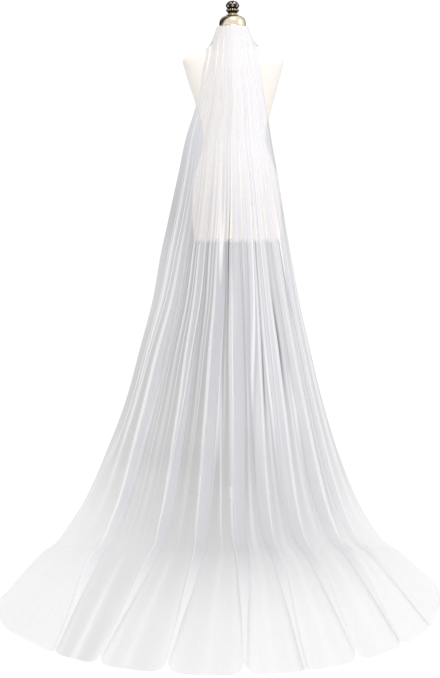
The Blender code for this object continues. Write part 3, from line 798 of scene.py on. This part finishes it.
def guide_columns(row):
    """The net's guide columns, left to right, for all rows: share, hem share, along, level and more."""
    height, none = row_height(row), np.zeros_like(row)
    flat = np.clip(row - 1, 0, 1)
    ends = [net_points(row, none + side, none + side) for side in (0.0, 1.0)]
    width = np.linalg.norm(ends[1] - ends[0], axis=-1)
    columns = []
    passed = (none, none)
    for i, (share, hem, side, half, rise, depth, cut) in enumerate(fold_places(row, height, width)):
        foot = np.minimum(FOOT_REACH[0] * (1 - flat) + FOOT_REACH[1] * flat, half * FOOT_SHARE)
        left = (half + foot + (rise if side > 0 else 0)) / width
        right = (half + foot + (rise if side < 0 else 0)) / width
        reached = (share - left, hem - left)
        columns += gap_columns(GAPS[i], passed, reached, GATHER_LEVEL * depth, height, width, flat)
        middle, reach, strength = SLIT_SHADES.get(i, (0.0, 1.0, 0.0))
        # painted shade: a dark slit in the laps at the fold's foot
        painted_shade = strength * np.exp(-(((height - middle) / reach) ** 2))
        hem, section = none + hem, []
        for k, (a, r, f, level, notch, *looks, crease_shading, steps) in enumerate(FOLD_SECTION):
            along = side * (a * half + r * rise + f * foot)
            crease_shading = crease_shading - painted_shade if k < 2 else crease_shading
            section.append((share, hem, along, level * depth, notch * cut, *looks, crease_shading, steps))
        if side < 0:
            steps = [column[-1] for column in section[-2::-1]] + [SMALL_PLEAT_SECTION[-1][-1]]
            section = [(*column[:-1], count) for column, count in zip(section[::-1], steps)]
        columns += section
        passed = (share + right, hem + right)
    edge = (none + 1, none + 1)
    columns += gap_columns(GAPS[-1], passed, edge, GATHER_LEVEL * depth, height, width, flat)
    columns = margin_columns(0.0, columns[0])[::-1] + columns + margin_columns(1.0, columns[-1])
    steps = [column[-1] for column in columns[:-1]]
    return [np.stack([none + column[i] for column in columns], 1) for i in range(7)], steps


def between_columns(values, steps, rounded=True):
    """Fills in a guide grid across its columns, rounded off or in straight lines between them."""
    values = values if values.ndim == 3 else values[..., None]
    before, after = 2 * values[:, :1] - values[:, 1:2], 2 * values[:, -1:] - values[:, -2:-1]
    padded = np.concatenate([before, values, after], axis=1)
    pieces = []
    for j, count in enumerate(steps):
        t = np.linspace(0, 1, count, endpoint=False)[None, :, None]
        if rounded:
            weights = ((1 - t) ** 3, 3 * t**3 - 6 * t**2 + 4, -3 * t**3 + 3 * t**2 + 3 * t + 1, t**3)
            pieces.append(sum(w * padded[:, j + k : j + k + 1] for k, w in enumerate(weights)) / 6)
        else:
            pieces.append(values[:, j : j + 1] * (1 - t) + values[:, j + 1 : j + 2] * t)
    return np.concatenate([*pieces, values[:, -1:]], axis=1).squeeze()


def even_rows():
    """Rows at even distances down the middle of the net, from the gathers to the hem."""
    row = np.linspace(0, 2, 1601)
    line = net_points(row, 0 * row + 0.5, 0 * row + 0.5)
    passed = np.concatenate([[0], np.cumsum(np.linalg.norm(np.diff(line, axis=0), axis=1))])
    return np.interp(np.linspace(0, passed[-1], NET_LENGTH_STEPS), passed, row)


def unit(vectors):
    return vectors / np.linalg.norm(vectors, axis=-1, keepdims=True)


def make_net():
    nudge = 1e-3
    row = even_rows()
    (share, hem, along, level, notch, in_fold, crease_shading), steps = guide_columns(row)
    grid = row[:, None] + 0 * share
    place = net_points(grid, share, hem)
    across = net_points(grid, np.minimum(share + nudge, 1), np.minimum(hem + nudge, 1))
    across -= net_points(grid, np.maximum(share - nudge, 0), np.maximum(hem - nudge, 0))
    down = net_points(np.minimum(grid + nudge, 2), share, hem)
    down -= net_points(np.maximum(grid - nudge, 0), share, hem)
    across, down = unit(across), unit(down)
    outward = unit(np.cross(down, across))
    outward[row > 1 - nudge] = (0.0, 0.0, 1.0)
    points = place + across * along[..., None] + outward * level[..., None]
    points -= down * (notch * np.clip(grid - 1, 0, 1) ** NOTCH_GROWTH)[..., None]
    reach = 24
    weights = np.exp(-0.5 * (np.arange(-reach, reach + 1) / EVEN_ROWS) ** 2)
    even = np.pad(outward, ((reach, reach), (0, 0), (0, 0)), mode="edge")
    even = sum(weight * even[i : i + len(row)] for i, weight in enumerate(weights / weights.sum()))
    points, lie = between_columns(points, steps), between_columns(even, steps)
    points[..., 2] = np.maximum(points[..., 2], NET_WALL / 2)
    in_fold, crease_shading = (between_columns(values, steps, rounded=False) for values in (in_fold, crease_shading))
    gaps = np.linalg.norm(np.diff(points, axis=1), axis=-1)
    landed = int(np.argmin(np.abs(row - 1)))
    cloth_step = gaps[landed] / gaps[landed].sum() * NET_CUT[0]
    cloth_x = np.concatenate([[0], np.cumsum(cloth_step)])
    packed = cloth_step[None, :] / np.maximum(gaps, 1e-5)
    packed = np.concatenate([packed[:, :1], (packed[:, 1:] + packed[:, :-1]) / 2, packed[:, -1:]], 1)
    looser = (1 - EDGE_PACKED) * np.abs(2 * cloth_x / cloth_x[-1] - 1)[None, :] ** EDGE_POWER
    looser = looser * np.interp(row, *zip(*EDGE_LOOSER))[:, None]
    lengths = np.linalg.norm(np.diff(points, axis=0), axis=-1)
    cloth_y = np.concatenate([0 * lengths[:1], np.cumsum(lengths, axis=0)])
    lean, half_width = (smooth_column(BODY_SECTIONS, column, points[..., 2]) for column in (4, 1))
    stored = {
        "cloth": np.stack([cloth_x[None, :] + 0 * cloth_y, cloth_y, 0 * cloth_y], -1),
        "in_fold": in_fold,
        # crease values: above 0 a painted highlight, below 0 painted shade
        "crease_shading": crease_shading,
        "packed": np.maximum(packed * (1 - looser), LEAST_PACKED),
        "over_body": half_width * BODY_SEEN - np.abs(points[..., 0] - lean),
        "lie": lie,
    }
    stored = {label: values[::-1] for label, values in stored.items()}
    return grid_piece("net", points[::-1], bridal_net_surface(), "veil_net", "net", **stored)


NET_SHADED_TONES = (
    # painted shade and light by the way down: the single net is painted grey, darkest where it hangs
    # below
    # the body and lighter on the train, and layered net is painted lighter; the net over the body is
    # painted darker towards its lower edge
    # way_down, single_net, layered_net, folded_edge, under_lap, over_body, strength of the fine lines
    (0.00, "DCDCDE", "DFDFE2", "E2E2E5", "D6D6D9", "E7E6E9", 0.10),
    (0.45, "C2C2C6", "C7C7CB", "CCCCD0", "B8B8BC", "E5E4E7", 0.20),
    (0.72, "A9A9AC", "B5B5BA", "CCCCD0", "98989C", "D9D7DA", 0.80),
    (1.20, "A5A5A7", "B4B4B9", "CCCCD1", "8C8C90", "D8D6D8", 0.75),
    (1.60, "A5A5A6", "B7B7BB", "C7C7CC", "8E8E91", "D8D6D8", 0.30),
    (1.85, "AAAAAB", "BBBBBF", "C7C7CB", "9C9C9E", "D8D6D8", 0.12),
    (2.05, "B5B5B6", "C9C9CC", "D0D0D3", "B2B2B3", "D8D6D8", 0.04),
    (2.30, "BEBEBF", "D8D8DA", "DBDBDD", "BFBFC0", "D8D6D8", 0.00),
    (2.60, "C8C8C8", "E0E0E2", "E3E3E5", "C8C8C8", "D8D6D8", 0.00),
    (3.10, "CCCCCC", "E0E0E1", "E3E3E4", "CCCCCC", "D8D6D8", 0.00),
)
NET_LENGTH = 3.2
MARGIN_TONE = (0.30, -0.12)  # metres further down that a side edge takes its painted tones of shade and light from, and the middle
NET_RANGES = (
    # which way over the cloth, and in metres where the effect starts and is full, and the most of it
    ("Y", 1.40, 1.90, 1.0),  # low enough for the margins to take other tones
    ("Y", 2.00, 0.75, 1.0),  # near the gathers
    ("Y", 1.80, 2.10, 0.625),  # on the train, where the sides of the folds lose some of their cover
    ("X", 0.70, 1.05, 1.0),  # in the right half, where the net lies in more layers and is painted lighter, as painted light from the right
    ("X", 0.35, 1.05, 1.0),  # from the shaded side of the body to the lit one
)
LAPPED_LAYERED = 0.5  # how much the net there takes the layered net's lighter painted tone
LAPPED_HIGHLIGHT = 0.8  # how much of the folded edge's painted highlight it takes near the gathers
BODY_TINTS = ("F2EFEC", "FBFBFC")  # of the net over the body, on its shaded side and its lit one
BODY_SHOWS = (0.10, 0.04)  # share of the light that reaches the body on those sides, even under layers
BODY_BACKS = 0.85  # how much the body behind the net counts
BACKED_HEIGHT = (BODY_BOTTOM - BOARD_THICK, BODY_BOTTOM + 0.0015)  # where that starts and is full
BACKED_SIDE = (-0.002, 0.002)  # the same, as the way in from the side of the body
CREASE_SHADING_TONES = (
    # crease value where it starts and is full, and the most of it
    (0.15, 1.0, 0.65),  # the painted highlight on a fold's edge
    (0.0, -1.0, 1.0),  # the painted shade under a lap
    (-1.0, -2.0, 0.8),  # a dark slit of painted shade
)
# the colour of the slits' painted shade
SLIT_SHADE_COLOUR = "5E5E64"
STREAKS = (
    # streaks in a metre across the cloth and along it, detail
    (14.0, 0.50, 2.0),  # broad, for the tone
    (16.0, 0.35, 0.0),  # fine lines of painted highlight and painted shade where the noise passes a value
    (300.0, 2.00, 3.0),  # threads, for the cover
)
FINE_HIGHLIGHTS_AND_SHADES = (
    # place in the noise, colour, strength
    # the first is a painted highlight line, the second a painted shade line
    (0.50, "F2F2F6", 0.90),
    (0.54, "78787C", 0.60),
)
FINE_LINE_HALF = 0.03
SINGLE_COVER = 0.76  # share of the light that one layer stops
SPREAD_LAYERS = 0.45  # how packed each layer of a fold counts over the body
NET_SOFTNESS = 0.85  # how much the threads' own roundness evens out the shading of the folds
TURNED_BACK = (-0.7, -0.5)  # cosines between the net's lie and a face that is turned round
FACE_TURNED = (
    # cosines where a face starts to be the side of a fold and fully is, and the cover it then loses
    (0.60, 0.15, 0.30),  # where the net hangs free
    (0.80, 0.42, 1.10),  # over the body
)
NET_PITCH = 0.0028  # a real cell is 1.4 mm across, drawn twice as coarse so that it shows
CELL_COVER = (-1.5, 3.0, 1.03, 0.93)  # the least and the most of the three waves, and the cover there
TONE_VARIES = (0.94, 1.06)
COVER_VARIES = (0.93, 1.07)


def bridal_net_surface():
    """Fine white nylon net with its shade and light painted into its colour: a single layer is painted
    grey, darkest where it hangs below the body, and layers that lie together are painted whiter and stop
    more of the light."""
    sheen = {"Sheen_Weight": 0.15, "Sheen_Roughness": 0.35, "Specular_IOR_Level": 0.0}
    made, add, shader = new_surface("Soft white nylon net", Roughness=0.6, **sheen)
    surface = add("NewGeometry", out=None).outputs
    cloth, lie = (add("Attribute", out="Vector", attribute_name=name) for name in ("cloth", "lie"))
    in_fold, crease_shading, packed, over_body = (
        add("Attribute", out="Fac", attribute_name=name)
        for name in ("in_fold", "crease_shading", "packed", "over_body")
    )
    alike = add("VectorMath DOT_PRODUCT", (lie, surface["True Normal"]), "Value")
    square_on = add("Math ABSOLUTE", (alike,))
    side = add("MapRange", (alike, *TURNED_BACK, -1.0, 1.0))
    lie = add("VectorMath MULTIPLY", (lie, side))
    facing = add("Mix VECTOR", {0: NET_SOFTNESS, 4: surface["Normal"], 5: lie}, 1)
    facing = add("VectorMath NORMALIZE", (facing,))
    ways = {axis: add("SeparateXYZ", (cloth,), axis) for axis in "XY"}
    low, near_top, on_train, lapped_and_lit, lit = (
        add("MapRange", (ways[axis], *ends, 0, most)) for axis, *ends, most in NET_RANGES
    )
    height = add("SeparateXYZ", (surface["Position"],), "Z")
    above = add("MapRange", (height, *BACKED_HEIGHT))
    beside = add("MapRange", (over_body, *BACKED_SIDE))
    backed = add("Math MULTIPLY", (beside, above))
    backed = add("Math MULTIPLY", (backed, BODY_BACKS))
    streaks = []
    for over, along, detail in STREAKS:
        stretched = add("VectorMath MULTIPLY", (cloth, (over, along, 0.0)))
        streaks.append(add("TexNoise", {"Vector": stretched, "Scale": 1.0, "Detail": detail}))
    margin = add("Math MULTIPLY_ADD", (ways["X"], 2 / NET_CUT[0], -1.0))
    margin = add("Math MULTIPLY", (margin, margin))
    margin = add("Math MULTIPLY_ADD", (margin, *MARGIN_TONE))
    way = add("Math MULTIPLY_ADD", (margin, low, ways["Y"]))
    way = add("Math MULTIPLY", (way, 1 / NET_LENGTH))
    # ramps of the net's colour by the way down, with painted shade and painted light in them
    ramps = []
    for values in list(zip(*NET_SHADED_TONES))[1:]:
        ramp = add("ValToRGB", (way,), None)
        stops = ramp.color_ramp.elements
        while len(stops) < len(NET_SHADED_TONES):
            stops.new(1.0)
        for stop, line, value in zip(stops, NET_SHADED_TONES, values):
            stop.position = line[0] / NET_LENGTH
            stop.color = linear(value) if isinstance(value, str) else (value, value, value, 1.0)
        ramps.append(ramp.outputs[0])
    tone, layered, edge_highlight_tone, lap_shade_tone, over, line_strength = ramps
    # the right half is painted lighter, as painted light from the right
    layers = add("Math MULTIPLY", (lapped_and_lit, LAPPED_LAYERED))
    layers = add("Math MAXIMUM", (layers, in_fold))
    gathers_highlight = add("Math MULTIPLY", (lapped_and_lit, near_top))
    gathers_highlight = add("Math MULTIPLY", (gathers_highlight, LAPPED_HIGHLIGHT))
    # painted highlights on fold edges, painted shade under laps and slits of painted shade
    painted_highlight, painted_shade, slit_shade = (add("MapRange", (crease_shading, *ends, 0, most)) for *ends, most in CREASE_SHADING_TONES)
    tint = add("Mix RGBA", {0: lit, 6: BODY_TINTS[0], 7: BODY_TINTS[1]}, 2)
    over = add("VectorMath MULTIPLY", (over, tint))
    blends = [(layers, layered), (gathers_highlight, edge_highlight_tone), (painted_highlight, edge_highlight_tone), (painted_shade, lap_shade_tone), (backed, over)]
    # fine painted highlight and painted shade lines of small creases
    for place, colour, strength in FINE_HIGHLIGHTS_AND_SHADES:
        off = add("Math SUBTRACT", (streaks[1], place))
        off = add("Math ABSOLUTE", (off,))
        off = add("Math DIVIDE", (off, packed))
        line = add("MapRange", (off, 0, FINE_LINE_HALF, strength, 0))
        line = add("Math MULTIPLY", (line, line_strength))
        blends.append((line, colour))
    # each blend paints light or shade into the net's colour
    for share, colour in (*blends, (slit_shade, SLIT_SHADE_COLOUR)):
        tone = add("Mix RGBA", {0: share, 6: tone, 7: colour}, 2)
    broad = add("MapRange", (streaks[0], 0, 1, *TONE_VARIES))
    tone = add("VectorMath MULTIPLY", (tone, broad))
    spread = add("Math MULTIPLY", (in_fold, backed))
    spread = add("MapRange", (spread, 0, 1, 1, SPREAD_LAYERS))
    spread = add("Math MULTIPLY", (spread, packed))
    open_share = add("Math POWER", (1 - SINGLE_COVER, spread))
    through = add("MapRange", (lapped_and_lit, 0, 1, *BODY_SHOWS))
    through = add("Math MULTIPLY", (through, backed))
    few = add("Math MAXIMUM", (on_train, backed))
    start, full, lost = (
        add("MapRange", (by, 0, 1, *ends)) for by, *ends in zip((backed, backed, few), *FACE_TURNED)
    )
    sideways = add("MapRange", (square_on, start, full))
    lost = add("Math MULTIPLY", (lost, sideways))
    weave = 0.0
    for turn in (0, 60, 120):
        way = (math.cos(math.radians(turn)), math.sin(math.radians(turn)), 0.0)
        way = tuple(2 * math.pi / NET_PITCH * part for part in way)
        wave = add("Math COSINE", (add("VectorMath DOT_PRODUCT", (cloth, way), "Value"),))
        weave = add("Math ADD", (weave, wave))
    cover = add("MapRange", (weave, *CELL_COVER))
    for opened in (open_share, through, lost):
        cover = add("Math MULTIPLY", (cover, add("Math SUBTRACT", (1.0, opened))))
    threads = add("MapRange", (streaks[2], 0, 1, *COVER_VARIES))
    cover = add("Math MULTIPLY", (cover, threads), use_clamp=True)
    set_inputs(shader, {"Normal": facing, "Base Color": tone, "Alpha": cover})
    return made


net = make_net()
net.visible_shadow = net.visible_diffuse = False  # so fine a net lets light through and darkens nothing


# ---- Floor, light and camera -----
# A studio with a seamless matt white floor and pale walls. One broad soft light shines from above the
# train, a weaker one from the form's front and a faint one from its side. Two dark panels are there for
# polished metal to mirror.
FLOOR_REACH = 60.0
FLOOR_LEVEL = -0.0002
CAMERA_PLACE = (-0.051, -4.700, 0.920)
CAMERA_TILT = -4.396
CAMERA_LENS = 68.37
LIGHTS = (
    # name, which way it shines, strength, softness in degrees, whether it throws shadows
    ("key_light", (-0.10, 0.55, -0.85), 1.60, 28.0, True),
    ("back_light", (0.20, -0.80, -0.60), 0.50, 50.0, True),
    ("side_light", (-1.00, 0.30, -0.30), 0.30, 40.0, False),
)
DARK_PANELS = (
    # which way it lies, and how near to that its edge starts and is full, as cosines
    ((-0.62, 0.45, 0.55), 0.60, 0.80),
    ((0.0, 1.0, 0.0), 0.78, 0.92),
)
PANEL_STRENGTH = 0.04
WALLS = (-0.3, 0.6, 0.86, 0.46)  # where along Y they start to darken and end, and their strength there
BACKDROP_STRENGTH = 1.05


def make_studio():
    scene = bpy.context.scene
    floor_mesh = bpy.data.meshes.new("studio_floor")
    corners = ((-1, -1), (1, -1), (1, 1), (-1, 1))
    corners = [(x * FLOOR_REACH, y * FLOOR_REACH, FLOOR_LEVEL) for x, y in corners]
    floor_mesh.from_pydata(corners, [], [(0, 1, 2, 3)])
    paint, _, _ = new_surface("Matt white floor paint", Base_Color="EEEEEE", Roughness=0.9)
    floor_mesh.materials.append(paint)
    floor = bpy.data.objects.new("studio_floor", floor_mesh)
    scene.collection.objects.link(floor)
    for name, toward, strength, softness, throws_shadow in LIGHTS:
        lamp = bpy.data.lights.new(name, "SUN")
        lamp.energy = strength
        lamp.angle = math.radians(softness)
        lamp.use_shadow = throws_shadow
        light = bpy.data.objects.new(name, lamp)
        light.rotation_mode = "QUATERNION"
        light.rotation_quaternion = Vector(toward).to_track_quat("-Z", "Y")
        scene.collection.objects.link(light)
    world = bpy.data.worlds.new("studio_walls")
    world.use_nodes = True
    add = partial(add_node, world.node_tree)
    path = add("LightPath", out=None).outputs
    where = add("TexCoord", out="Generated")
    panels = 0.0
    for facing, start, full in DARK_PANELS:
        facing = tuple(Vector(facing).normalized())
        near = add("VectorMath DOT_PRODUCT", (where, facing), "Value")
        seen = add("MapRange", (near, start, full))
        panels = add("Math MAXIMUM", (panels, seen))
    mirrored = add("MapRange", (panels, 0, 1, 1, PANEL_STRENGTH))
    lit = add("MapRange", (add("SeparateXYZ", (where,), "Y"), *WALLS))
    plain = add("Mix", {0: path["Is Camera Ray"], 2: lit, 3: BACKDROP_STRENGTH})
    strength = add("Mix", {0: path["Is Glossy Ray"], 2: plain, 3: mirrored})
    set_inputs(world.node_tree.nodes["Background"], {"Color": "FFFFFF", "Strength": strength})
    scene.world = world
    camera_data = bpy.data.cameras.new("camera")
    camera_data.lens = CAMERA_LENS
    camera_data.clip_end = 200.0
    camera = bpy.data.objects.new("camera", camera_data)
    camera.location = CAMERA_PLACE
    camera.rotation_euler = (math.radians(90 + CAMERA_TILT), 0, 0)
    scene.collection.objects.link(camera)
    scene.camera = camera
    scene.view_settings.view_transform = "Standard"
    scene.cycles.transparent_max_bounces = 48


make_studio()
